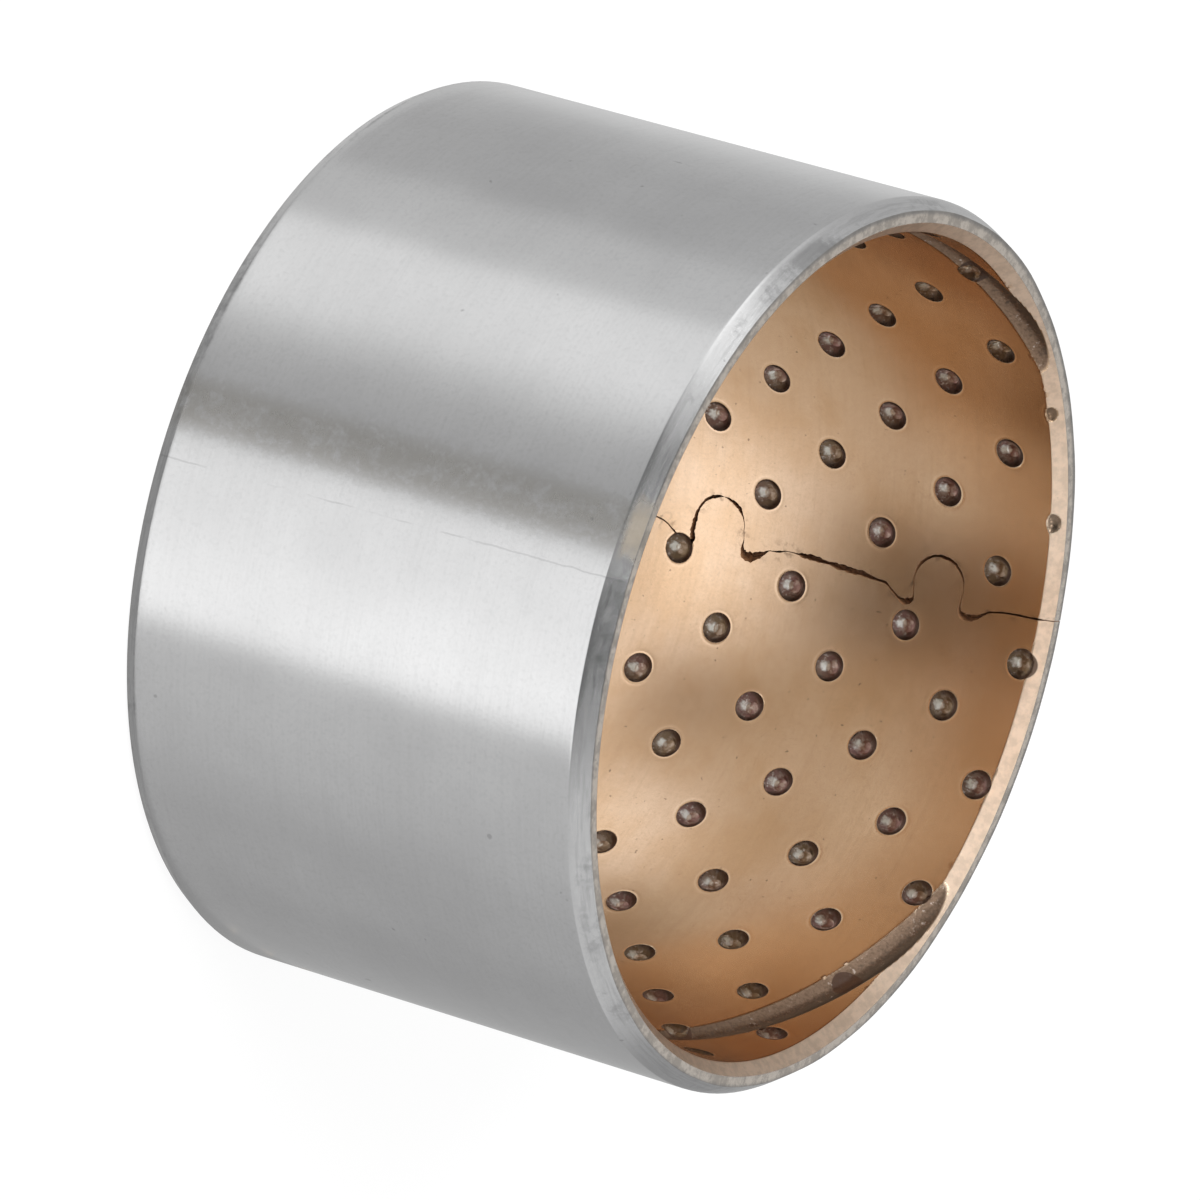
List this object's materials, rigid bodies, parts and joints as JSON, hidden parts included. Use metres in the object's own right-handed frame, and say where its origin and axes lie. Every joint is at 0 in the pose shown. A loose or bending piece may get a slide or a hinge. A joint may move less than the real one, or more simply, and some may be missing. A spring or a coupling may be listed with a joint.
{
  "type": "wrapped bimetal plain bush",
  "caption": "Rolled steel bush lined with bronze, with graphite-filled pockets, a slanting grease groove and a clinched joint, for a slow turning or rocking shaft.",
  "frame": {"origin": "on the axis of the bush, in the plane of its lower end face", "axes": "+Z along the axis towards the end with the larger outside chamfer, +X towards the joint line, +Y the way the tabs of the joint point"},
  "size_m": [0.065, 0.065, 0.0385],
  "materials": {
    "steel": "turned, with fine rings round the bush",
    "bronze": "finely bored, satin",
    "graphite": "dull and grainy"
  },
  "bodies": {
    "root": {"steel_backing": "steel", "bronze_lining": "bronze", "graphite_plugs": "graphite"}
  },
  "joints": []
}
